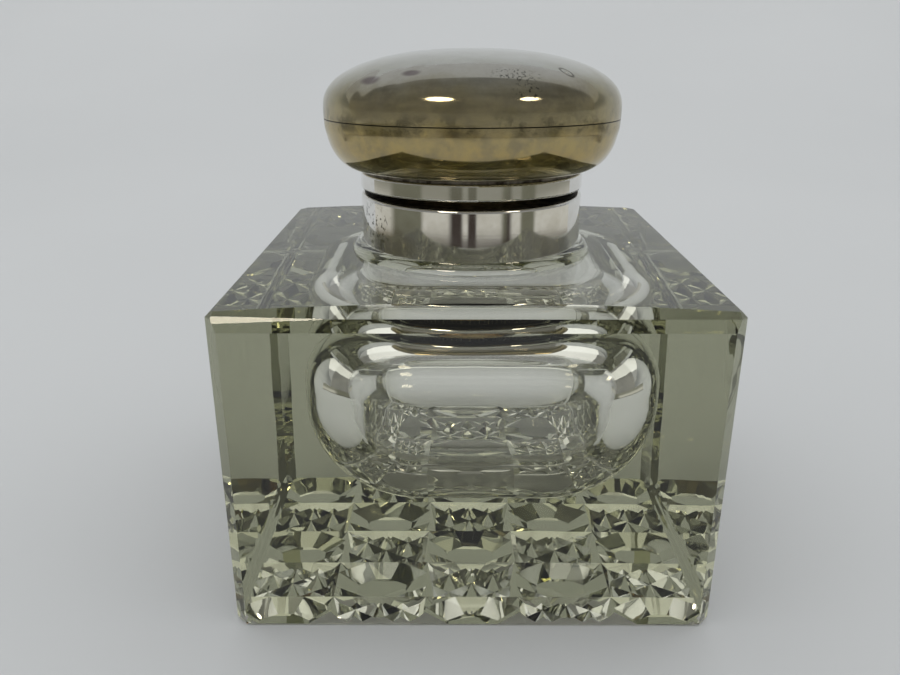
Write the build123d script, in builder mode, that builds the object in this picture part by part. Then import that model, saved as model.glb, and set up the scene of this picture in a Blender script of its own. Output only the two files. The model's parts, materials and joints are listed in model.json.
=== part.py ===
"""Inkwell: cut-glass cube, silver collar and hinged cushion lid.

Frame: millimetres, +Z up, origin at the centre of the base, front face towards -Y.
Every lid piece is drawn in the lid's own frame, where the lid is shut, and stands
in that frame's stored pose, a touch open about the hinge at the back.
"""

from build123d import *

import math
import os

os.makedirs("parts", exist_ok=True)

# Glass block
BLOCK = 95.0
BLOCK_H = 65.4
TOP_CROWN = 1.1
CORNER_CHAMFER = 2.3
TOP_BEVEL = 1.0
FOOT_BEVEL = 0.4

# Two polished facets along the front top edge meet in a ridge, and the rest of an older bevel
# lies along the ridge's left half. A lean is the angle of a facet's normal above the horizontal.
LOWER_FACET_LEAN = 22.0
LOWER_FACET_FOOT = 62.2
UPPER_FACET_LEAN = 53.0
RIDGE_HEIGHT = 64.48
OLD_BEVEL_LEAN = 35.0
OLD_BEVEL_DEPTH = 0.2
OLD_BEVEL_END = -24.0

# Ink cavity: rounded square, wider than the neck, a little right of centre
CAVITY_X = 2.0
CAVITY_HALF = 36.2
CAVITY_CORNER_R = 24.0
CAVITY_BOTTOM = 18.8
CAVITY_TOP = 56.8
CAVITY_BOTTOM_R = 22.0
CAVITY_TOP_R = 12.5
CAVITY_NECK_R = 3.0

# Neck
NECK_R = 23.0
NECK_TOP = 78.1
NECK_BORE_R = 16.6
NECK_RIM_R = 0.8
NECK_ROOT = 2.0
COVE_R = 2.4
COVE_TOP_R = 24.0

# Cut base: cells between the main grooves, octagons and hatching by turns
COLUMNS = 5
ROWS = 6
CELL_X = 19.0
CELL_Y = 20.5
FIRST_ROW = 10.5
EDGE_DEPTH = 2.4
OCTAGON_WALL = 4.4
OCTAGON_CORNER = 9.7
HATCH_WALL = 2.8
HATCH_DEPTH = 1.4
HATCH_GROOVE = 2.3
OVERCUT = 1.0
CUT_MARGIN = 0.5
CUT_LEAN = 24.0

# Silver collar
COLLAR_R = 24.1
COLLAR_WALL = 0.6
COLLAR_BOTTOM = 68.4
COLLAR_TOP = 78.8
COLLAR_SHOULDER_R = 0.6
MOUTH_R = 15.9
MOUTH_LIP_R = 22.6
SLEEVE_BOTTOM = 72.8
CEMENT_BOTTOM = 68.9

# Hinge at the back
TILT = 1.5
HINGE_Y = 26.1
HINGE_Z = 79.3
KNUCKLE_R = 1.7
KNUCKLE_LENGTH = 2.9
KNUCKLE_PITCH = 3.0
PIN_R = 0.6
PIN_GAP = 0.05
PIN_END = 0.3
PIN_END_R = 0.2
LEAF_BACK = 25.2
LEAF_FRONT = 21.0
COLLAR_LEAF_HALF = 7.45
COLLAR_LEAF_BOTTOM = 71.5
COLLAR_LEAF_TOP = 77.5
COLLAR_LEAF_CORNER = 0.8
COLLAR_STRAP_BOTTOM = 73.0
LID_LEAF_HALF = 4.45
LID_LEAF_BOTTOM = 81.2
LID_LEAF_TOP = 82.4
LID_STRAP_TOP = 82.8
STRAP = 0.9

# Lid, drawn shut
LID_R = 31.55
LID_WIDEST = 96.0
LID_CROWN = 107.6
LID_SEAM = 93.6
LID_WALL = 0.8
LID_FOOT_R = 22.8
LID_FOOT = 83.0
LID_UPPER_POWER = 2.25
LID_LOWER_POWER = 2.4
SEAM_DEPTH = 0.12
RING_BOTTOM = 79.1
RING_TOP = 82.5
RING_WALL = 0.7
RING_EDGE_R = 0.45
RING_PLATE = 0.7
STEP_R = 23.4
BEZEL_R = 15.3
BEZEL_WALL = 0.6
BEZEL_BOTTOM = 76.1
LINER_R = 17.0
LINER = 0.6

HALF = BLOCK / 2
EPS = 0.001


# ---------------------------------------------------------------- helpers
def save(piece, name):
    """Name a finished piece and write its file."""
    piece.part.label = name
    export_step(piece.part, f"parts/{name}.step")


def lid_frame():
    """Frame of the shut lid turned up by TILT about the hinge; its numbers stay the shut ones."""
    c = math.cos(math.radians(TILT))
    s = math.sin(math.radians(TILT))
    y = HINGE_Y - HINGE_Y * c - HINGE_Z * s
    z = HINGE_Z + HINGE_Y * s - HINGE_Z * c
    return Plane(origin=(0, y, z), x_dir=(1, 0, 0), z_dir=(0, s, c))


LID = lid_frame()
LID_AXIS = Axis(LID.origin, LID.z_dir)
LID_SECTION = Plane(origin=LID.origin, x_dir=(1, 0, 0), z_dir=-LID.y_dir)


def lid_plane(height):
    """Plane across the lid's axis at a height of the shut lid."""
    return LID.offset(height)


def v_groove(length, half_width, depth):
    """Long wedge along Y, point up at z = depth, open side through z = 0."""
    flare = half_width * (depth + OVERCUT) / depth
    with BuildPart() as wedge:
        with BuildSketch(Plane.XZ):
            with BuildLine():
                Polyline((-flare, -OVERCUT), (flare, -OVERCUT), (0, depth), close=True)
            make_face()
        extrude(amount=length / 2, both=True)
    return wedge.part


# ---------------------------------------------------------------- glass
def cavity_solid():
    """Space for the ink: rounded square bowl with the neck bore above it."""
    with BuildPart() as cavity:
        with BuildSketch(Plane.XY.offset(CAVITY_BOTTOM)):
            with Locations((CAVITY_X, 0)):
                RectangleRounded(2 * CAVITY_HALF, 2 * CAVITY_HALF, CAVITY_CORNER_R)
        extrude(amount=CAVITY_TOP - CAVITY_BOTTOM)
        fillet(cavity.faces().sort_by(Axis.Z)[0].edges(), CAVITY_BOTTOM_R)
        fillet(cavity.faces().sort_by(Axis.Z)[-1].edges(), CAVITY_TOP_R)
        with BuildSketch(Plane.XY.offset(CAVITY_TOP - OVERCUT)):
            Circle(NECK_BORE_R)
        extrude(amount=NECK_TOP - CAVITY_TOP + 2 * OVERCUT)
        mouth = cavity.edges().filter_by(GeomType.CIRCLE)
        mouth = mouth.filter_by(lambda e: abs(e.center().Z - CAVITY_TOP) < EPS)
        mouth = mouth.filter_by(lambda e: abs(e.radius - NECK_BORE_R) < EPS)
        fillet(mouth, CAVITY_NECK_R)
    return cavity.part


def waste(foot, lean, sideways=0.0):
    """Glass beyond a facet through a point, its normal leaning up and turned sideways."""
    up = math.radians(lean)
    side = math.radians(sideways)
    normal = (math.sin(side), -math.cos(side) * math.cos(up), math.cos(side) * math.sin(up))
    with BuildPart(Plane(origin=foot, x_dir=(math.cos(side), math.sin(side), 0), z_dir=normal)) as piece:
        Box(3 * BLOCK, BLOCK, BLOCK, align=(Align.CENTER, Align.CENTER, Align.MIN))
    return piece.part


def front_waste():
    """Glass ground away along the front top edge."""
    ridge_y = -HALF + (RIDGE_HEIGHT - LOWER_FACET_FOOT) * math.tan(math.radians(LOWER_FACET_LEAN))
    reach = HALF + OLD_BEVEL_END
    turn = -math.degrees(math.atan(OLD_BEVEL_DEPTH / reach))
    with BuildPart() as gone:
        add(waste((0, -HALF, LOWER_FACET_FOOT), LOWER_FACET_LEAN))
        add(waste((0, ridge_y, RIDGE_HEIGHT), UPPER_FACET_LEAN))
        add(waste((OLD_BEVEL_END, ridge_y, RIDGE_HEIGHT), OLD_BEVEL_LEAN, turn))
    return gone.part


def octagon_cut():
    """Cuts of one octagon cell: four sides and four corners round a flat table."""
    with BuildPart() as cut:
        with Locations((-CELL_X / 2, 0), (CELL_X / 2, 0)):
            add(v_groove(2 * CELL_Y, OCTAGON_WALL, EDGE_DEPTH))
        with Locations(Location((0, -CELL_Y / 2, 0), (0, 0, 90)), Location((0, CELL_Y / 2, 0), (0, 0, 90))):
            add(v_groove(2 * CELL_X, OCTAGON_WALL, EDGE_DEPTH))
        with PolarLocations(OCTAGON_CORNER, 4, start_angle=45):
            add(v_groove(2 * CELL_X, OCTAGON_WALL, EDGE_DEPTH))
        Box(CELL_X, CELL_Y, 4 * EDGE_DEPTH, mode=Mode.INTERSECT)
    return cut.part


def hatch_cut():
    """Cuts of one hatched cell: lines front to back and both ways across the corners."""
    lean = math.degrees(math.atan2(CELL_X, CELL_Y))
    with BuildPart() as cut:
        with Locations((-CELL_X / 2, 0), (CELL_X / 2, 0)):
            add(v_groove(2 * CELL_Y, HATCH_WALL, EDGE_DEPTH))
        with Locations(Location((0, -CELL_Y / 2, 0), (0, 0, 90)), Location((0, CELL_Y / 2, 0), (0, 0, 90))):
            add(v_groove(2 * CELL_X, HATCH_WALL, EDGE_DEPTH))
        for step in (-1, 0, 1):
            with Locations((step * CELL_X / 4, 0)):
                add(v_groove(2 * CELL_Y, HATCH_GROOVE, HATCH_DEPTH))
            for turn in (-lean, lean):
                with Locations(Location((step * CELL_X / 2, 0, 0), (0, 0, turn))):
                    add(v_groove(2 * CELL_Y, HATCH_GROOVE, HATCH_DEPTH))
        Box(CELL_X, CELL_Y, 4 * EDGE_DEPTH, mode=Mode.INTERSECT)
    return cut.part


def cell_places(parity):
    """Centres of every second cell of the base, octagons for parity 0; the end rows run off it."""
    first_y = -HALF + FIRST_ROW - CELL_Y / 2
    first_x = -(COLUMNS - 1) / 2 * CELL_X
    places = []
    for row in range(ROWS):
        for column in range(COLUMNS):
            if (row + column) % 2 == parity:
                places.append((first_x + column * CELL_X, first_y + row * CELL_Y))
    return places


def cut_limits():
    """Space that the base's cuts stay in: steep walls just inside the block's sides."""
    with BuildPart() as limits:
        with BuildSketch(Plane.XY.offset(-OVERCUT)) as outline_of_cuts:
            Rectangle(BLOCK - 2 * CUT_MARGIN, BLOCK - 2 * CUT_MARGIN)
            chamfer(outline_of_cuts.vertices(), CORNER_CHAMFER)
        extrude(amount=4 * EDGE_DEPTH, taper=CUT_LEAN)
    return limits.part


def base_cuts():
    """All cuts of the base."""
    octagon = octagon_cut()
    hatch = hatch_cut()
    limits = cut_limits()
    with BuildPart() as cuts:
        with Locations(*cell_places(0)):
            add(octagon)
        with Locations(*cell_places(1)):
            add(hatch)
        add(limits, mode=Mode.INTERSECT)
    return cuts.part


CAVITY = cavity_solid()
FRONT_WASTE = front_waste()
BASE_CUTS = base_cuts()

with BuildPart() as glass_block:
    with BuildSketch(Plane.XZ):
        with BuildLine():
            Polyline((-HALF, BLOCK_H), (-HALF, 0), (HALF, 0), (HALF, BLOCK_H))
            ThreePointArc((HALF, BLOCK_H), (0, BLOCK_H + TOP_CROWN), (-HALF, BLOCK_H))
        make_face()
    extrude(amount=HALF, both=True)
    chamfer(glass_block.edges().filter_by(Axis.Z), CORNER_CHAMFER)
    chamfer(glass_block.faces().sort_by(Axis.Z)[-1].edges(), TOP_BEVEL)
    chamfer(glass_block.faces().sort_by(Axis.Z)[0].edges(), FOOT_BEVEL)
    add(FRONT_WASTE, mode=Mode.SUBTRACT)
    with BuildSketch(Plane.XZ):
        with BuildLine():
            foot_r = COVE_TOP_R + COVE_R
            foot_z = COLLAR_BOTTOM - COVE_R
            Polyline((0, foot_z - NECK_ROOT), (foot_r, foot_z - NECK_ROOT), (foot_r, foot_z))
            RadiusArc((foot_r, foot_z), (COVE_TOP_R, COLLAR_BOTTOM), -COVE_R)
            Polyline(
                (COVE_TOP_R, COLLAR_BOTTOM),
                (NECK_R, COLLAR_BOTTOM),
                (NECK_R, NECK_TOP),
                (0, NECK_TOP),
                (0, foot_z - NECK_ROOT),
            )
        make_face()
    revolve(axis=Axis.Z)
    add(CAVITY, mode=Mode.SUBTRACT)
    rim = glass_block.edges().filter_by(GeomType.CIRCLE)
    rim = rim.filter_by(lambda e: abs(e.center().Z - NECK_TOP) < EPS)
    fillet(rim, NECK_RIM_R)
    add(BASE_CUTS, mode=Mode.SUBTRACT)
save(glass_block, "glass_block")

with BuildPart() as neck_cement:
    with BuildSketch(Plane.XY.offset(CEMENT_BOTTOM)):
        Circle(COLLAR_R - COLLAR_WALL)
        Circle(NECK_R, mode=Mode.SUBTRACT)
    extrude(amount=NECK_TOP - NECK_RIM_R - CEMENT_BOTTOM)
save(neck_cement, "neck_cement")


# ---------------------------------------------------------------- collar
with BuildPart() as collar_band:
    with BuildSketch(Plane.XZ):
        with BuildLine():
            Polyline(
                (COLLAR_R - COLLAR_WALL, COLLAR_BOTTOM),
                (COLLAR_R, COLLAR_BOTTOM),
                (COLLAR_R, COLLAR_TOP),
                (MOUTH_LIP_R, COLLAR_TOP),
                (MOUTH_LIP_R, NECK_TOP),
                (COLLAR_R - COLLAR_WALL, NECK_TOP),
                close=True,
            )
        make_face()
    revolve(axis=Axis.Z)
    shoulder = collar_band.edges().filter_by(GeomType.CIRCLE)
    shoulder = shoulder.filter_by(lambda e: abs(e.radius - COLLAR_R) < EPS)
    shoulder = shoulder.filter_by(lambda e: abs(e.center().Z - COLLAR_TOP) < EPS)
    fillet(shoulder, COLLAR_SHOULDER_R)
save(collar_band, "collar_band")

with BuildPart() as collar_mouth_ring:
    with BuildSketch(Plane.XZ):
        with BuildLine():
            Polyline(
                (MOUTH_R, SLEEVE_BOTTOM),
                (NECK_BORE_R - PIN_GAP, SLEEVE_BOTTOM),
                (NECK_BORE_R - PIN_GAP, NECK_TOP),
                (MOUTH_LIP_R, NECK_TOP),
                (MOUTH_LIP_R, COLLAR_TOP),
                (MOUTH_R, COLLAR_TOP),
                close=True,
            )
        make_face()
    revolve(axis=Axis.Z)
    lip = collar_mouth_ring.edges().filter_by(GeomType.CIRCLE)
    lip = lip.filter_by(lambda e: abs(e.radius - MOUTH_R) < EPS)
    lip = lip.filter_by(lambda e: abs(e.center().Z - COLLAR_TOP) < EPS)
    fillet(lip, (COLLAR_TOP - NECK_TOP) / 2)
save(collar_mouth_ring, "collar_mouth_ring")


# ---------------------------------------------------------------- hinge
with BuildPart() as collar_hinge_leaf:
    with BuildSketch(Plane.XY.offset(COLLAR_LEAF_BOTTOM)):
        with Locations((0, (LEAF_FRONT + LEAF_BACK) / 2)):
            Rectangle(2 * COLLAR_LEAF_HALF, LEAF_BACK - LEAF_FRONT)
        Circle(COLLAR_R, mode=Mode.SUBTRACT)
    extrude(amount=COLLAR_LEAF_TOP - COLLAR_LEAF_BOTTOM)
    fillet(collar_hinge_leaf.edges().filter_by(Axis.Y).sort_by(Axis.Z)[:2], COLLAR_LEAF_CORNER)
save(collar_hinge_leaf, "collar_hinge_leaf")


def knuckle(centre_x, bore_r, strap_from, strap_to, frame):
    """Knuckle round the pin with a flat strap down (or up) the leaf's face."""
    middle = frame.from_local_coords((centre_x, 0, 0))
    section = Plane(origin=middle, x_dir=frame.y_dir, z_dir=(1, 0, 0))
    with BuildPart() as piece:
        with BuildSketch(section):
            with Locations((HINGE_Y, HINGE_Z)):
                Circle(KNUCKLE_R)
            with Locations((LEAF_BACK + STRAP / 2, (strap_from + strap_to) / 2)):
                Rectangle(STRAP, strap_to - strap_from)
            with Locations((HINGE_Y, HINGE_Z)):
                Circle(bore_r, mode=Mode.SUBTRACT)
        extrude(amount=KNUCKLE_LENGTH / 2, both=True)
    return piece


FIXED_KNUCKLES = {
    "collar_knuckle_left": -2 * KNUCKLE_PITCH,
    "collar_knuckle_mid": 0,
    "collar_knuckle_right": 2 * KNUCKLE_PITCH,
}
for node, place in FIXED_KNUCKLES.items():
    save(knuckle(place, PIN_R, COLLAR_STRAP_BOTTOM, HINGE_Z, Plane.XY), node)

LID_KNUCKLES = {
    "lid_knuckle_left": -KNUCKLE_PITCH,
    "lid_knuckle_right": KNUCKLE_PITCH,
}
for node, place in LID_KNUCKLES.items():
    save(knuckle(place, PIN_R + PIN_GAP, HINGE_Z, LID_STRAP_TOP, LID), node)

with BuildPart() as hinge_pin:
    with Locations(Location((0, HINGE_Y, HINGE_Z), (0, 90, 0))):
        Cylinder(PIN_R, 5 * KNUCKLE_PITCH + 2 * PIN_END)
    fillet(hinge_pin.edges().filter_by(GeomType.CIRCLE), PIN_END_R)
save(hinge_pin, "hinge_pin")


# ---------------------------------------------------------------- lid
def cushion_point(wall, turn):
    """Point of the lid's outline, inset by a wall; turn runs from -90 (foot) to 90 (crown)."""
    reach = LID_R - wall
    c = math.cos(math.radians(turn))
    s = math.sin(math.radians(turn))
    if turn >= 0:
        r = reach * c ** (2 / LID_UPPER_POWER)
        z = LID_WIDEST + (LID_CROWN - wall - LID_WIDEST) * s ** (2 / LID_UPPER_POWER)
        return (r, z)
    foot_r = LID_FOOT_R - wall
    r = foot_r + (reach - foot_r) * c ** (2 / LID_LOWER_POWER)
    z = LID_WIDEST - (LID_WIDEST - wall - LID_FOOT) * (-s) ** (2 / LID_LOWER_POWER)
    return (r, z)


def seam_turn(wall):
    """Turn at which the outline passes the seam's height."""
    drop = (LID_WIDEST - LID_SEAM) / (LID_WIDEST - wall - LID_FOOT)
    return -math.degrees(math.asin(drop ** (LID_LOWER_POWER / 2)))


def outline(wall, first, last, count=9):
    """Points of the outline between two turns."""
    return [cushion_point(wall, first + (last - first) * i / (count - 1)) for i in range(count)]


def heading(wall, turn):
    """Direction of the outline at a turn, going up."""
    before = cushion_point(wall, turn - 0.1)
    after = cushion_point(wall, turn + 0.1)
    return (after[0] - before[0], after[1] - before[1])


def backwards(direction):
    """Opposite of a direction."""
    return (-direction[0], -direction[1])


with BuildPart() as lid_dome:
    with BuildSketch(LID_SECTION):
        with BuildLine():
            outer = outline(0, seam_turn(0), 90, 17)
            inner = outline(LID_WALL, 90, seam_turn(LID_WALL), 17)
            Spline(*outer, tangents=[heading(0, seam_turn(0)), (-1, 0)])
            Line(outer[-1], inner[0])
            Spline(*inner, tangents=[(1, 0), backwards(heading(LID_WALL, seam_turn(LID_WALL)))])
            Line(inner[-1], outer[0])
        make_face()
    revolve(axis=LID_AXIS)
    seam = lid_dome.edges().filter_by(GeomType.CIRCLE).sort_by(SortBy.RADIUS)[-1]
    chamfer(seam, SEAM_DEPTH)
save(lid_dome, "lid_dome")

with BuildPart() as lid_pan:
    with BuildSketch(LID_SECTION):
        with BuildLine():
            outer = outline(0, -90, seam_turn(0))
            inner = outline(LID_WALL, seam_turn(LID_WALL), -90)
            Spline(*outer, tangents=[(1, 0), heading(0, seam_turn(0))])
            Line(outer[-1], inner[0])
            Spline(*inner, tangents=[backwards(heading(LID_WALL, seam_turn(LID_WALL))), (-1, 0)])
            Line(inner[-1], outer[0])
        make_face()
    revolve(axis=LID_AXIS)
save(lid_pan, "lid_pan")

with BuildPart() as lid_ring:
    with BuildSketch(LID_SECTION):
        with BuildLine():
            Polyline(
                (BEZEL_R, RING_BOTTOM),
                (COLLAR_R, RING_BOTTOM),
                (COLLAR_R, RING_TOP),
                (STEP_R, RING_TOP),
                (STEP_R, LID_FOOT),
                (STEP_R - RING_WALL, LID_FOOT),
                (STEP_R - RING_WALL, RING_BOTTOM + RING_PLATE),
                (BEZEL_R, RING_BOTTOM + RING_PLATE),
                close=True,
            )
        make_face()
    revolve(axis=LID_AXIS)
    rims = lid_ring.edges().filter_by(GeomType.CIRCLE)
    fillet(rims.filter_by(lambda e: abs(e.radius - COLLAR_R) < EPS), RING_EDGE_R)
save(lid_ring, "lid_ring")

with BuildPart() as lid_bezel:
    with BuildSketch(lid_plane(BEZEL_BOTTOM)):
        Circle(BEZEL_R)
        Circle(BEZEL_R - BEZEL_WALL, mode=Mode.SUBTRACT)
    extrude(amount=RING_BOTTOM + RING_PLATE - BEZEL_BOTTOM)
    lead = lid_bezel.edges().filter_by(GeomType.CIRCLE)
    lead = lead.filter_by(lambda e: abs(e.radius - BEZEL_R) < EPS)
    fillet(lead.sort_by(LID_AXIS)[0], BEZEL_WALL / 2)
save(lid_bezel, "lid_bezel")

with BuildPart() as lid_liner:
    with BuildSketch(lid_plane(RING_BOTTOM + RING_PLATE)):
        Circle(LINER_R)
    extrude(amount=LINER)
save(lid_liner, "lid_liner")

with BuildPart() as lid_hinge_leaf:
    with BuildSketch(lid_plane(LID_LEAF_BOTTOM)):
        with Locations((0, (LEAF_FRONT + LEAF_BACK) / 2)):
            Rectangle(2 * LID_LEAF_HALF, LEAF_BACK - LEAF_FRONT)
        Circle(COLLAR_R, mode=Mode.SUBTRACT)
    extrude(amount=LID_LEAF_TOP - LID_LEAF_BOTTOM)
save(lid_hinge_leaf, "lid_hinge_leaf")
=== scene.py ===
import json
import math

import bmesh
import bpy
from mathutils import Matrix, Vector, noise as perlin


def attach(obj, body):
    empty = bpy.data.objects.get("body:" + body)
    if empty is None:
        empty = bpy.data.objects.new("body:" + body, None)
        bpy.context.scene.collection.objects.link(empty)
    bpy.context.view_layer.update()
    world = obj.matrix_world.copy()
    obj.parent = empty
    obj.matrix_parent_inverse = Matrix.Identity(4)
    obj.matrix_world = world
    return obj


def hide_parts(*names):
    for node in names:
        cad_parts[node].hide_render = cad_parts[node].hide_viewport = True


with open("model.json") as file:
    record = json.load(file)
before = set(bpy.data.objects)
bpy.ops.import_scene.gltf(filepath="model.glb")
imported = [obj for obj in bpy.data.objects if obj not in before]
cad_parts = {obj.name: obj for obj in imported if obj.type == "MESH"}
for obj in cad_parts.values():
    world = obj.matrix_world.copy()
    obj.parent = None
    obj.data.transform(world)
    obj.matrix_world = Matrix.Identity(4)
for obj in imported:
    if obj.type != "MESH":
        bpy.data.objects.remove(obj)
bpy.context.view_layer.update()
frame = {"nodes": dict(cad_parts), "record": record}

MM = 0.001
nodes = frame["nodes"]
scene = bpy.context.scene

# The lid's own frame: shut, then turned up by the joint's lower stop about the hinge.
LID_JOINT = frame["record"]["behaviour"]["joints"][0]
HINGE_Y = LID_JOINT["pos_m"][1] / MM
HINGE_Z = LID_JOINT["pos_m"][2] / MM
TILT = math.radians(-LID_JOINT["range_deg"][0])
LID_AXIS = Vector((0, math.sin(TILT), math.cos(TILT)))
LID_BACK = Vector((0, math.cos(TILT), -math.sin(TILT)))
LID_ORIGIN = Vector((0, HINGE_Y, HINGE_Z)) - HINGE_Y * LID_BACK - HINGE_Z * LID_AXIS

# The lid's outline, in millimetres of its own frame
LID_R = 31.55
LID_WIDEST = 96.0
LID_CROWN = 107.6
LID_SEAM = 93.6
LID_WALL = 0.8
LID_FOOT_R = 22.8
LID_FOOT = 83.0
LID_UPPER_POWER = 2.25
LID_LOWER_POWER = 2.4
SEAM_DEPTH = 0.12


# ---------------------------------------------------------------- node helpers
def new_material(name):
    """Empty node material; returns the material and its node tree."""
    material = bpy.data.materials.new(name)
    material.use_nodes = True
    tree = material.node_tree
    tree.nodes.clear()
    return material, tree


def add_node(tree, kind, **values):
    """Node of a kind, with its sockets or properties set by name."""
    node = tree.nodes.new(kind)
    for key, value in values.items():
        label = key.replace("_", " ")
        sockets = {s.name.lower(): s for s in node.inputs}
        if label.lower() in sockets:
            sockets[label.lower()].default_value = value
        else:
            setattr(node, key, value)
    return node


def feed(tree, socket, value):
    """Links a socket to another, or sets its number, vector or colour."""
    if isinstance(value, bpy.types.NodeSocket):
        tree.links.new(value, socket)
    elif isinstance(value, tuple) and socket.type == "RGBA":
        socket.default_value = (*value, 1)
    else:
        socket.default_value = value


def object_coordinates(tree):
    """Place on the object, in metres."""
    return add_node(tree, "ShaderNodeTexCoord").outputs["Object"]


def stretched(tree, scale):
    """Place on the object, stretched by a scale on each axis."""
    node = add_node(tree, "ShaderNodeVectorMath", operation="MULTIPLY")
    feed(tree, node.inputs[0], object_coordinates(tree))
    feed(tree, node.inputs[1], scale)
    return node.outputs[0]


def noise(tree, scale, detail=4.0, roughness=0.5, vector=None):
    """Noise from 0 to 1 at a scale per metre."""
    node = add_node(tree, "ShaderNodeTexNoise", Scale=scale, Detail=detail, Roughness=roughness)
    tree.links.new(vector or object_coordinates(tree), node.inputs["Vector"])
    return node.outputs[0]


def calc(tree, operation, a, b=0.0):
    """Result of a sum, product or other operation on two numbers."""
    node = add_node(tree, "ShaderNodeMath", operation=operation)
    feed(tree, node.inputs[0], a)
    feed(tree, node.inputs[1], b)
    return node.outputs[0]


def from_to(tree, value, low, high, out_low=0.0, out_high=1.0):
    """A value between two limits brought between two others, and held there."""
    node = add_node(tree, "ShaderNodeMapRange", interpolation_type="SMOOTHSTEP")
    feed(tree, node.inputs["Value"], value)
    for label, number in (("From Min", low), ("From Max", high), ("To Min", out_low), ("To Max", out_high)):
        node.inputs[label].default_value = number
    return node.outputs[0]


def along(tree, direction):
    """How far the place on the object lies along a direction, in metres."""
    node = add_node(tree, "ShaderNodeVectorMath", operation="DOT_PRODUCT")
    feed(tree, node.inputs[0], object_coordinates(tree))
    feed(tree, node.inputs[1], tuple(direction))
    return node.outputs["Value"]


def lid_height(tree):
    """Height in the lid's own frame, in metres."""
    offset = LID_ORIGIN.dot(LID_AXIS) * MM
    return calc(tree, "SUBTRACT", along(tree, LID_AXIS), offset)


def length(tree, vector):
    """Length of a vector."""
    node = add_node(tree, "ShaderNodeVectorMath", operation="LENGTH")
    feed(tree, node.inputs[0], vector)
    return node.outputs["Value"]


def spread(tree, centre, reach, turn=0.0):
    """Distance from a place in millimetres, 1 at a reach on each axis, the axes turned about the vertical."""
    shift = add_node(tree, "ShaderNodeVectorMath", operation="SUBTRACT")
    feed(tree, shift.inputs[0], object_coordinates(tree))
    feed(tree, shift.inputs[1], tuple(c * MM for c in centre))
    turned = add_node(tree, "ShaderNodeVectorRotate", rotation_type="Z_AXIS", Angle=-turn)
    feed(tree, turned.inputs["Vector"], shift.outputs[0])
    scaled = add_node(tree, "ShaderNodeVectorMath", operation="DIVIDE")
    feed(tree, scaled.inputs[0], turned.outputs[0])
    feed(tree, scaled.inputs[1], tuple(r * MM for r in reach))
    return length(tree, scaled.outputs[0])


def near(tree, centre, reach):
    """1 at a place in millimetres, fading to 0 at a reach on each axis."""
    return from_to(tree, spread(tree, centre, reach), 1.0, 0.4)


def ramp(tree, factor, stops):
    """Colour ramp over a factor; stops are (place, colour or grey)."""
    node = tree.nodes.new("ShaderNodeValToRGB")
    elements = node.color_ramp.elements
    while len(elements) < len(stops):
        elements.new(0.5)
    for element, (place, colour) in zip(elements, stops):
        element.position = place
        element.color = (*colour, 1) if isinstance(colour, tuple) else (colour, colour, colour, 1)
    tree.links.new(factor, node.inputs[0])
    return node.outputs[0]


def mix_colour(tree, factor, a, b):
    """Mix of two colours, each a socket or a tuple."""
    node = tree.nodes.new("ShaderNodeMix")
    node.data_type = "RGBA"
    feed(tree, node.inputs[0], factor)
    feed(tree, node.inputs[6], a)
    feed(tree, node.inputs[7], b)
    return node.outputs[2]


def principled(tree, **values):
    """Principled shader joined to the output."""
    shader = add_node(tree, "ShaderNodeBsdfPrincipled")
    for key, value in values.items():
        feed(tree, shader.inputs[key.replace("_", " ")], value)
    output = tree.nodes.new("ShaderNodeOutputMaterial")
    tree.links.new(shader.outputs[0], output.inputs["Surface"])
    return shader, output


def bump(tree, height, strength, distance):
    """Bump from a height, in metres of depth."""
    node = add_node(tree, "ShaderNodeBump", Strength=strength, Distance=distance)
    tree.links.new(height, node.inputs["Height"])
    return node.outputs[0]


def glow(name, colour):
    """Material that only glows; its colour comes from a function of the node tree."""
    material, tree = new_material(name)
    emission = add_node(tree, "ShaderNodeEmission", Strength=1.0)
    feed(tree, emission.inputs["Color"], colour(tree))
    output = tree.nodes.new("ShaderNodeOutputMaterial")
    tree.links.new(emission.outputs[0], output.inputs["Surface"])
    return material


def paint(obj, material):
    """Gives an object one material."""
    obj.data.materials.clear()
    obj.data.materials.append(material)


# ---------------------------------------------------------------- materials
GLASS_IOR = 1.56
GLASS_TINT = (0.50, 0.51, 0.32, 1)
GLASS_DENSITY = 20.0

# Silver nearer the axis than this lies inside the mount: painted shade of the gap under the lid, mottled with
# ink stains
HOLLOW_R = 23.45 * MM
HOLLOW_FADE = 0.1 * MM


def crystal():
    """Old lead crystal, faintly olive in depth, its faces not quite flat."""
    material, tree = new_material("crystal")
    shader, output = principled(
        tree,
        Base_Color=(1.0, 1.0, 1.0),
        Roughness=0.0,
        IOR=GLASS_IOR,
        Transmission_Weight=1.0,
    )
    volume = add_node(tree, "ShaderNodeVolumeAbsorption", Color=GLASS_TINT, Density=GLASS_DENSITY)
    tree.links.new(volume.outputs[0], output.inputs["Volume"])
    waves = noise(tree, 55.0, 2.0)
    tree.links.new(bump(tree, waves, 0.25, 0.0004), shader.inputs["Normal"])
    return material


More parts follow.
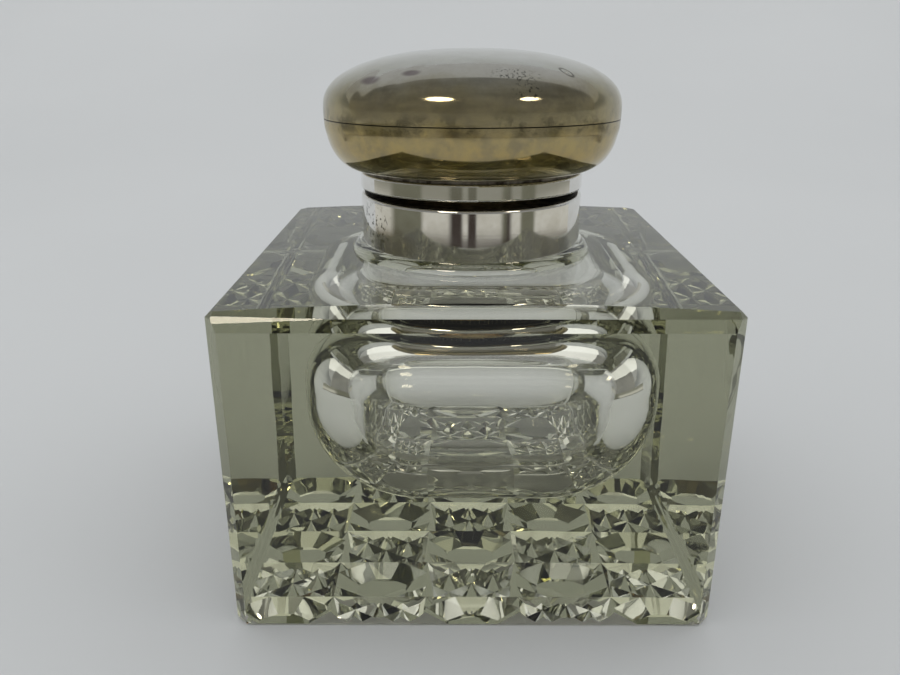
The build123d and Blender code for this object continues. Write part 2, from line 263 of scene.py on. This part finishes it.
def silver():
    """Polished silver: hairlines round it, black specks at the left, ink stains and painted shade of the gap
    inside the mount.
    """
    material, tree = new_material("silver")
    hairlines = noise(tree, 1.0, 3.0, 0.6, stretched(tree, (60.0, 60.0, 2600.0)))
    clouds = noise(tree, 160.0, 5.0, 0.6)
    colour = ramp(tree, clouds, [(0.3, (0.70, 0.68, 0.62)), (0.6, (0.82, 0.81, 0.78))])

    specks = from_to(tree, noise(tree, 900.0, 3.0, 0.7), 0.55, 0.61)
    speckled = calc(tree, "MULTIPLY", specks, near(tree, (-20.5, -12.5, 73.0), (8.0, 9.0, 6.5)))
    colour = mix_colour(tree, speckled, colour, (0.05, 0.045, 0.03))
    yellowed = near(tree, (-17.0, -17.0, 70.5), (9.0, 9.0, 4.0))
    colour = mix_colour(tree, calc(tree, "MULTIPLY", yellowed, 0.5), colour, (0.42, 0.37, 0.22))

    from_axis = length(tree, stretched(tree, (1.0, 1.0, 0.0)))
    # Inside the mount the silver is painted dark: painted shade of the gap under the lid, mottled as ink
    # stains.
    hollow = from_to(tree, from_axis, HOLLOW_R, HOLLOW_R - HOLLOW_FADE)
    stains = noise(tree, 420.0, 5.0, 0.65)
    ink_and_gap_shade = ramp(tree, stains, [(0.4, (0.035, 0.027, 0.02)), (0.62, (0.26, 0.235, 0.19))])
    colour = mix_colour(tree, hollow, colour, ink_and_gap_shade)
    gloss = from_to(tree, clouds, 0.35, 0.7, 0.09, 0.035)
    gloss = calc(tree, "ADD", gloss, calc(tree, "MULTIPLY", hollow, 0.4))
    shader, _ = principled(tree, Base_Color=colour, Metallic=1.0, Roughness=gloss)
    tree.links.new(bump(tree, hairlines, 0.05, 0.00002), shader.inputs["Normal"])
    return material


# The oval punch mark: its place in the lid's own frame and in the shared one, and its half sizes
HALLMARK = (17.3, -20.1)
HALLMARK_PLACE = (17.3, -19.5, 104.2)
HALLMARK_HALF = (1.55, 0.95)
HALLMARK_TURN = math.radians(-32)


def tarnished_silver():
    """Silver of the lid: worn grey on top, brown below, gold-toned under the seam, with painted shade in a
    band above the widest point and along the seam.
    """
    material, tree = new_material("tarnished_silver")
    height = lid_height(tree)
    cloudy = noise(tree, 70.0, 5.0, 0.62)
    wander = calc(tree, "MULTIPLY", calc(tree, "SUBTRACT", cloudy, 0.5), 0.011)
    level = calc(tree, "ADD", height, wander)
    low, high = 0.083, 0.108
    # Tone by height is tarnish, except that the band from 97 to 100 mm is also darkened as painted shade.
    stops = [
        (0.084, (0.42, 0.36, 0.20)),
        (0.088, (0.48, 0.37, 0.16)),
        (0.092, (0.47, 0.38, 0.18)),
        (0.094, (0.46, 0.39, 0.22)),
        (0.097, (0.42, 0.37, 0.22)),
        (0.100, (0.42, 0.39, 0.28)),
        (0.103, (0.58, 0.57, 0.50)),
        (0.107, (0.66, 0.66, 0.62)),
    ]
    tone = ramp(
        tree,
        calc(tree, "DIVIDE", calc(tree, "SUBTRACT", level, low), high - low),
        [((h - low) / (high - low), c) for h, c in stops],
    )
    mottle = noise(tree, 260.0, 6.0, 0.7)
    stain = from_to(tree, noise(tree, 110.0, 5.0, 0.65), 0.48, 0.66, 0.0, 0.5)
    below = from_to(tree, height, 0.103, 0.098)
    tone = mix_colour(tree, calc(tree, "MULTIPLY", stain, below), tone, (0.20, 0.18, 0.13))
    strength = calc(tree, "ADD", 0.12, calc(tree, "MULTIPLY", below, 0.24))
    mottled = calc(tree, "MULTIPLY", from_to(tree, mottle, 0.35, 0.62, 1.0, 0.0), strength)
    tone = mix_colour(tree, mottled, tone, (0.25, 0.22, 0.17))

    pits = from_to(tree, noise(tree, 1500.0, 3.0, 0.65), 0.55, 0.62, 0.0, 0.8)
    where = calc(
        tree,
        "MAXIMUM",
        near(tree, (7.4, -25.2, 103.8), (6.6, 3.4, 2.0)),
        near(tree, (9.5, -28.0, 101.2), (4.0, 2.4, 2.4)),
    )
    tone = mix_colour(tree, calc(tree, "MULTIPLY", pits, where), tone, (0.02, 0.02, 0.02))
    # Darker colour over the two deepest dents.
    dent_marks = calc(
        tree,
        "MAXIMUM",
        near(tree, (-20.0, -20.3, 102.8), (3.6, 3.0, 1.1)),
        near(tree, (-11.8, -23.3, 104.2), (2.6, 2.2, 0.8)),
    )
    tone = mix_colour(tree, calc(tree, "MULTIPLY", dent_marks, 0.75), tone, (0.16, 0.12, 0.13))
    # Near-black line along the seam: painted shade in its groove, with grime.
    off_seam = calc(tree, "ABSOLUTE", calc(tree, "SUBTRACT", height, LID_SEAM * MM))
    seam_grime_and_shade = from_to(tree, off_seam, 0.16 * MM, 0.07 * MM, 0.0, 0.92)
    tone = mix_colour(tree, seam_grime_and_shade, tone, (0.02, 0.018, 0.012))
    beside = from_to(tree, off_seam, 3.2 * MM, 0.6 * MM)
    patches = from_to(tree, noise(tree, 190.0, 5.0, 0.7), 0.48, 0.6, 0.0, 0.6)
    tone = mix_colour(tree, calc(tree, "MULTIPLY", beside, patches), tone, (0.13, 0.115, 0.075))
    away = spread(tree, HALLMARK_PLACE, (*HALLMARK_HALF, HALLMARK_HALF[0]), HALLMARK_TURN)
    line = calc(tree, "MULTIPLY", from_to(tree, away, 0.70, 0.90), from_to(tree, away, 1.25, 1.05))
    tone = mix_colour(tree, calc(tree, "MULTIPLY", line, 0.8), tone, (0.10, 0.09, 0.075))

    gloss = from_to(tree, noise(tree, 150.0, 6.0, 0.65), 0.35, 0.65, 0.06, 0.13)
    dull = calc(tree, "MULTIPLY", from_to(tree, off_seam, 4.0 * MM, 1.5 * MM), 0.12)
    gloss = calc(tree, "ADD", gloss, dull)
    shader, _ = principled(tree, Base_Color=tone, Metallic=1.0, Roughness=gloss)
    scratches = noise(tree, 1.0, 4.0, 0.7, stretched(tree, (300.0, 2200.0, 900.0)))
    tree.links.new(bump(tree, scratches, 0.06, 0.00003), shader.inputs["Normal"])
    return material


def gilt():
    """Satin gilding inside the lid, rubbed and darkened with ink."""
    material, tree = new_material("gilt")
    rubbed = noise(tree, 240.0, 6.0, 0.65)
    golds = [(0.3, (0.42, 0.27, 0.10)), (0.5, (0.78, 0.57, 0.27)), (0.8, (0.86, 0.68, 0.38))]
    tone = ramp(tree, rubbed, golds)
    gloss = from_to(tree, rubbed, 0.3, 0.7, 0.38, 0.2)
    shader, _ = principled(tree, Base_Color=tone, Metallic=1.0, Roughness=gloss)
    tree.links.new(bump(tree, noise(tree, 1800.0, 4.0), 0.12, 0.00003), shader.inputs["Normal"])
    return material


def plaster():
    """Old plaster that holds the collar."""
    material, tree = new_material("plaster")
    grain = noise(tree, 700.0, 6.0, 0.7)
    tone = ramp(tree, grain, [(0.3, (0.34, 0.31, 0.25)), (0.7, (0.62, 0.59, 0.52))])
    shader, _ = principled(tree, Base_Color=tone, Roughness=0.9)
    tree.links.new(bump(tree, grain, 0.5, 0.0001), shader.inputs["Normal"])
    return material


SLOT_MATERIALS = {
    "crystal": crystal(),
    "silver": silver(),
    "tarnished_silver": tarnished_silver(),
    "gilt": gilt(),
    "cement": plaster(),
}
for entry in frame["record"]["subparts"]:
    paint(nodes[entry["node"]], SLOT_MATERIALS[entry["material_slot"]])


# ---------------------------------------------------------------- lid top, with its dents
AROUND = 480
DOME_STEPS = 170
INNER_STEPS = 40
WAVE_DEPTH = 0.05
WAVE_LENGTH = 11.0

# Dents: place from the lid's axis, reach along and across, turn of the long side, depth
DENTS = [
    ((-20.0, -20.6), (3.2, 1.8), 40.0, 0.20),
    ((-11.6, -23.6), (2.4, 1.2), 30.0, 0.10),
    ((-15.5, -21.5), (6.5, 4.0), 25.0, 0.08),
    ((24.0, -14.0), (5.0, 4.0), -40.0, 0.10),
]
HALLMARK_LINE = 0.07


def cushion_point(wall, turn):
    """Radius and height of the lid's outline inset by a wall, from -90 (foot) to 90 (crown) degrees."""
    reach = LID_R - wall
    c = max(math.cos(math.radians(turn)), 0.0)
    s = math.sin(math.radians(turn))
    if turn >= 0:
        rise = LID_CROWN - wall - LID_WIDEST
        return (reach * c ** (2 / LID_UPPER_POWER), LID_WIDEST + rise * s ** (2 / LID_UPPER_POWER))
    foot_r = LID_FOOT_R - wall
    drop = LID_WIDEST - wall - LID_FOOT
    r = foot_r + (reach - foot_r) * c ** (2 / LID_LOWER_POWER)
    return (r, LID_WIDEST - drop * (-s) ** (2 / LID_LOWER_POWER))


def seam_turn(wall):
    """Turn at which the outline passes the seam's height."""
    drop = (LID_WIDEST - LID_SEAM) / (LID_WIDEST - wall - LID_FOOT)
    return -math.degrees(math.asin(drop ** (LID_LOWER_POWER / 2)))


def outline_normal(turn):
    """Outward direction of the outer outline at a turn, as radius and height."""
    low = cushion_point(0, max(turn - 0.2, -90))
    high = cushion_point(0, min(turn + 0.2, 90))
    dr, dz = high[0] - low[0], high[1] - low[1]
    length = math.hypot(dr, dz)
    return (dz / length, -dr / length)


def smooth_step(x):
    """Smooth rise from 0 to 1."""
    x = min(max(x, 0.0), 1.0)
    return x * x * (3 - 2 * x)


def dent_depth(x, y, z, above_seam):
    """How far the lid's surface lies inside its true outline, in millimetres."""
    wave = perlin.noise(Vector((x, y, z)) / WAVE_LENGTH)
    depth = WAVE_DEPTH * (0.5 + 0.5 * wave)
    for (px, py), (reach_u, reach_v), turn, deep in DENTS:
        c, s = math.cos(math.radians(turn)), math.sin(math.radians(turn))
        u = ((x - px) * c + (y - py) * s) / reach_u
        v = (-(x - px) * s + (y - py) * c) / reach_v
        depth += deep * math.exp(-(u * u + v * v))
    return depth * smooth_step(above_seam / 3.0)


def lid_place(x, y, z):
    """Place in metres of a point of the lid's own frame, given in millimetres."""
    return (LID_ORIGIN + Vector((x, 0, 0)) + y * LID_BACK + z * LID_AXIS) * MM


def add_piece(name, shape, body, material):
    """Finishes a mesh as a piece that rides on a body."""
    mesh = bpy.data.meshes.new(name)
    bmesh.ops.recalc_face_normals(shape, faces=shape.faces)
    shape.to_mesh(mesh)
    shape.free()
    piece = bpy.data.objects.new(name, mesh)
    scene.collection.objects.link(piece)
    paint(piece, material)
    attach(piece, body)
    return piece


def dome_rings():
    """Radius, height and outward direction of each ring, from the inner crown round to the outer."""
    rings = []
    for i in range(1, INNER_STEPS + 1):
        turn = 90 + (seam_turn(LID_WALL) - 90) * i / INNER_STEPS
        rings.append((*cushion_point(LID_WALL, turn), None))
    seam_r, seam_z = cushion_point(0, seam_turn(0))
    rings.append((seam_r - SEAM_DEPTH, seam_z, None))
    first = seam_turn(0)
    for i in range(DOME_STEPS):
        turn = first + (90 - first) * i / DOME_STEPS
        r, z = cushion_point(0, turn)
        if i == 0:
            z += SEAM_DEPTH
        elif z < seam_z + SEAM_DEPTH:
            continue
        rings.append((r, z, outline_normal(turn)))
    return rings


def make_dome():
    """Upper half of the lid as a closed shell."""
    shape = bmesh.new()
    inner_pole = shape.verts.new(lid_place(0, 0, LID_CROWN - LID_WALL))
    crown_dent = dent_depth(0, 0, LID_CROWN, LID_CROWN - LID_SEAM)
    outer_pole = shape.verts.new(lid_place(0, 0, LID_CROWN - crown_dent))
    rows = []
    for r, z, outward in dome_rings():
        row = []
        for k in range(AROUND):
            c, s = math.cos(2 * math.pi * k / AROUND), math.sin(2 * math.pi * k / AROUND)
            deep = dent_depth(r * c, r * s, z, z - LID_SEAM) if outward else 0.0
            out_r, out_z = outward if outward else (0, 0)
            reach = r - out_r * deep
            row.append(shape.verts.new(lid_place(reach * c, reach * s, z - out_z * deep)))
        rows.append(row)
    for k in range(AROUND):
        j = (k + 1) % AROUND
        shape.faces.new((inner_pole, rows[0][k], rows[0][j]))
        shape.faces.new((outer_pole, rows[-1][j], rows[-1][k]))
        for a, b in zip(rows, rows[1:]):
            shape.faces.new((a[k], b[k], b[j], a[j]))
    for face in shape.faces:
        face.smooth = True
    for row in rows[INNER_STEPS - 1 : INNER_STEPS + 2]:
        for k in range(AROUND):
            shape.edges.get((row[k], row[(k + 1) % AROUND])).smooth = False
    dome = add_piece("lid_top", shape, "lid", SLOT_MATERIALS["tarnished_silver"])
    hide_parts("lid_dome")


def surface_point(x, y):
    """Point on the lid's dented top above a place, and the direction out of it, in its own frame."""
    r = math.hypot(x, y)
    low, high = 0.0, 90.0
    for _ in range(40):
        turn = (low + high) / 2
        if cushion_point(0, turn)[0] > r:
            low = turn
        else:
            high = turn
    z = cushion_point(0, turn)[1]
    out_r, out_z = outline_normal(turn)
    outward = Vector((out_r * x / r, out_r * y / r, out_z))
    deep = dent_depth(x, y, z, z - LID_SEAM)
    return Vector((x, y, z)) - outward * deep, outward


def make_hallmark():
    """Plain oval punch mark: a fine raised rim round a small lozenge, without letters."""
    shape = bmesh.new()

    def rim(half_u, half_v, corners, line):
        """Closed fine bead along an ellipse or polygon laid on the lid."""
        sides = 6
        rows = []
        for i in range(corners):
            a = 2 * math.pi * i / corners
            u, v = half_u * math.cos(a), half_v * math.sin(a)
            c, s = math.cos(HALLMARK_TURN), math.sin(HALLMARK_TURN)
            x, y = HALLMARK[0] + u * c - v * s, HALLMARK[1] + u * s + v * c
            point, outward = surface_point(x, y)
            aside = Vector((x - HALLMARK[0], y - HALLMARK[1], 0)).normalized()
            aside = (aside - outward * aside.dot(outward)).normalized()
            row = []
            for k in range(sides):
                b = 2 * math.pi * k / sides
                p = point + line * (0.4 * math.sin(b) * outward + math.cos(b) * aside)
                row.append(shape.verts.new(lid_place(*p)))
            rows.append(row)
        for i in range(corners):
            a, b = rows[i], rows[(i + 1) % corners]
            for k in range(sides):
                j = (k + 1) % sides
                shape.faces.new((a[k], b[k], b[j], a[j])).smooth = True

    rim(*HALLMARK_HALF, 48, HALLMARK_LINE)
    rim(0.55, 0.32, 4, HALLMARK_LINE * 0.8)
    add_piece("lid_hallmark", shape, "lid", SLOT_MATERIALS["tarnished_silver"])


make_dome()
make_hallmark()


# ---------------------------------------------------------------- stage
def floor_material():
    """Plain pale matt card."""
    material, tree = new_material("floor")
    tone = ramp(tree, noise(tree, 3.0, 2.0), [(0.3, (0.585, 0.60, 0.605)), (0.7, (0.61, 0.625, 0.63))])
    shader, _ = principled(tree, Base_Color=tone, Roughness=0.8)
    tree.links.new(bump(tree, noise(tree, 900.0), 0.1, 0.0001), shader.inputs["Normal"])
    return material


def add_stage(name, shape, material):
    """Finishes a mesh as part of the room."""
    mesh = bpy.data.meshes.new(name)
    shape.to_mesh(mesh)
    shape.free()
    mesh.shade_smooth()
    piece = bpy.data.objects.new(name, mesh)
    scene.collection.objects.link(piece)
    paint(piece, material)
    return piece


def only_reflected(piece):
    """Keeps a part of the room out of the camera's view and off the floor's lighting."""
    piece.visible_camera = False
    piece.visible_diffuse = False
    piece.visible_shadow = False
    return piece


AIR_GAP = 0.1 * MM


def make_sweep():
    """Floor that curves up into a backdrop far behind the object."""
    shape = bmesh.new()
    half = 8.0
    floor = -AIR_GAP
    bend_start = 0.25
    radius = 1.38
    top = 1.40
    steps = 24
    path = [(-half, floor), (bend_start, floor)]
    for i in range(1, steps + 1):
        turn = math.pi / 2 * i / steps
        path.append((bend_start + radius * math.sin(turn), floor + radius - radius * math.cos(turn)))
    path.append((bend_start + radius, top))
    rows = [(shape.verts.new((-half, y, z)), shape.verts.new((half, y, z))) for y, z in path]
    for (a, b), (c, d) in zip(rows, rows[1:]):
        shape.faces.new((a, b, d, c))
    return add_stage("sweep", shape, floor_material())


ROOM_R = 2.7
ROOM_LEAN = math.radians(10)
ROOM_REACH = math.radians(100)


def make_dim_room():
    """Dim half of the room on the front side: a wide cap seen only in reflections."""
    shape = bmesh.new()
    ahead = Vector((0, -math.cos(ROOM_LEAN), math.sin(ROOM_LEAN)))
    right = Vector((1, 0, 0))
    up = right.cross(ahead)
    steps, around = 20, 40
    pole = shape.verts.new(ahead * ROOM_R)
    rows = []
    for i in range(1, steps + 1):
        a = ROOM_REACH * i / steps
        row = []
        for k in range(around):
            b = 2 * math.pi * k / around
            aside = right * math.cos(b) + up * math.sin(b)
            row.append(shape.verts.new((ahead * math.cos(a) + aside * math.sin(a)) * ROOM_R))
        rows.append(row)
    for k in range(around):
        j = (k + 1) % around
        shape.faces.new((pole, rows[0][k], rows[0][j]))
        for a, b in zip(rows, rows[1:]):
            shape.faces.new((a[k], b[k], b[j], a[j]))

    def tone(tree):
        clouds = noise(tree, 0.7, 3.0)
        return ramp(tree, clouds, [(0.35, (0.19, 0.19, 0.182)), (0.65, (0.28, 0.275, 0.26))])

    return only_reflected(add_stage("dim_room", shape, glow("dim_room", tone)))


SCREEN_R = 0.36
SCREEN_INNER_R = 0.29
SCREEN_FOOT = 0.001
SCREEN_TOP = 0.034
SCREEN_RIM = 0.056
SCREEN_REACH = 115
BANDS_FADE_FROM = 0.02
SKIRT_DARK_R = 0.315
SKIRT_LIGHT_R = 0.345


def share_of_reach(tree, angle):
    """Share of the low band's reach at an angle in radians."""
    reach = math.radians(SCREEN_REACH)
    return calc(tree, "DIVIDE", calc(tree, "ADD", angle, reach), 2 * reach)


def make_table_edge():
    """Low band of light and dark things round the front of the table, seen only in reflections."""
    shape = bmesh.new()
    steps = 60
    rows = []
    for i in range(steps + 1):
        a = math.radians(-SCREEN_REACH + 2 * SCREEN_REACH * i / steps)
        outline = [(SCREEN_INNER_R, SCREEN_FOOT)]
        outline += [(SCREEN_R, height) for height in (SCREEN_FOOT, SCREEN_TOP, SCREEN_RIM)]
        rows.append([shape.verts.new((r * math.sin(a), -r * math.cos(a), z)) for r, z in outline])
    for low, high in zip(rows, rows[1:]):
        for i in range(len(low) - 1):
            shape.faces.new((low[i], high[i], high[i + 1], low[i + 1]))

    def tone(tree):
        place = add_node(tree, "ShaderNodeSeparateXYZ")
        tree.links.new(object_coordinates(tree), place.inputs[0])
        angle = calc(tree, "ARCTAN2", place.outputs["X"], calc(tree, "MULTIPLY", place.outputs["Y"], -1.0))
        part = share_of_reach(tree, angle)
        light, dark, mid = (0.56, 0.55, 0.50), (0.05, 0.04, 0.035), (0.16, 0.16, 0.12)
        bands = [(-90, light), (-82, mid), (-52, mid), (-48, light), (-24, light), (-19, dark), (-11, dark)]
        bands += [(-8, light), (-5, light), (-3, dark), (3, dark), (5, light), (27, light), (31, mid)]
        bands += [(36, dark), (40, light), (47, light), (50, mid), (62, mid), (66, light)]
        banded = ramp(tree, part, [((a + SCREEN_REACH) / (2 * SCREEN_REACH), c) for a, c in bands])
        level = from_to(tree, place.outputs["Z"], BANDS_FADE_FROM, SCREEN_TOP, 0.0, 0.75)
        faded = mix_colour(tree, level, banded, mid)
        away = length(tree, object_coordinates(tree))
        lying = from_to(tree, away, SKIRT_LIGHT_R, SKIRT_DARK_R, 0.0, 0.8)
        return mix_colour(tree, lying, faded, dark)

    return only_reflected(add_stage("table_edge", shape, glow("table_edge", tone)))


def area_light(name, place, target, size, radiance, colour=(1, 1, 1), shape="RECTANGLE"):
    """Light of a shape aimed at a point; sizes in metres, brightness as radiance."""
    data = bpy.data.lights.new(name, "AREA")
    data.shape = shape
    data.size, data.size_y = size
    share = math.pi / 4 if shape == "ELLIPSE" else 1.0
    data.energy = radiance * math.pi * share * size[0] * size[1]
    data.color = colour
    light = bpy.data.objects.new(name, data)
    scene.collection.objects.link(light)
    light.location = place
    light.rotation_euler = (Vector(target) - Vector(place)).to_track_quat("-Z", "Y").to_euler()
    return light


make_sweep()
make_dim_room()
make_table_edge()
overhead = area_light("overhead", (0.0, 0.35, 1.5), (0, 0.35, 0), (4.6, 2.7), 0.78)
overhead.visible_glossy = False

LAMP_TARGET = (0.0, -0.03, 0.1)
for name, place, size, radiance in (
    ("lamp_left", (-0.190, -0.349, 0.438), (0.165, 0.115), 11.0),
    ("lamp_right", (0.306, -0.277, 0.417), (0.125, 0.095), 8.0),
):
    lamp = area_light(name, place, LAMP_TARGET, size, radiance, (1.0, 0.90, 0.72), "ELLIPSE")
    lamp.visible_diffuse = False

world = bpy.data.worlds.new("room")
scene.world = world
world.use_nodes = True
background = world.node_tree.nodes["Background"]
background.inputs["Color"].default_value = (0.43, 0.434, 0.439, 1)
background.inputs["Strength"].default_value = 1.0


# ---------------------------------------------------------------- camera
CAMERA_PLACE = (-4.1 * MM, -177.8 * MM, 110.0 * MM)
CAMERA_YAW = 0.18
CAMERA_PITCH = -20.42
CAMERA_LENS = 32.07

camera_data = bpy.data.cameras.new("camera")
camera_data.lens = CAMERA_LENS
camera_data.sensor_width = 36.0
camera_data.clip_start = 0.01
camera = bpy.data.objects.new("camera", camera_data)
scene.collection.objects.link(camera)
camera.location = CAMERA_PLACE
camera.rotation_euler = (math.radians(90 + CAMERA_PITCH), 0.0, math.radians(CAMERA_YAW))
scene.camera = camera
scene.view_settings.view_transform = "Standard"
scene.cycles.max_bounces = 32
scene.cycles.transmission_bounces = 28
scene.cycles.glossy_bounces = 12
scene.cycles.transparent_max_bounces = 16
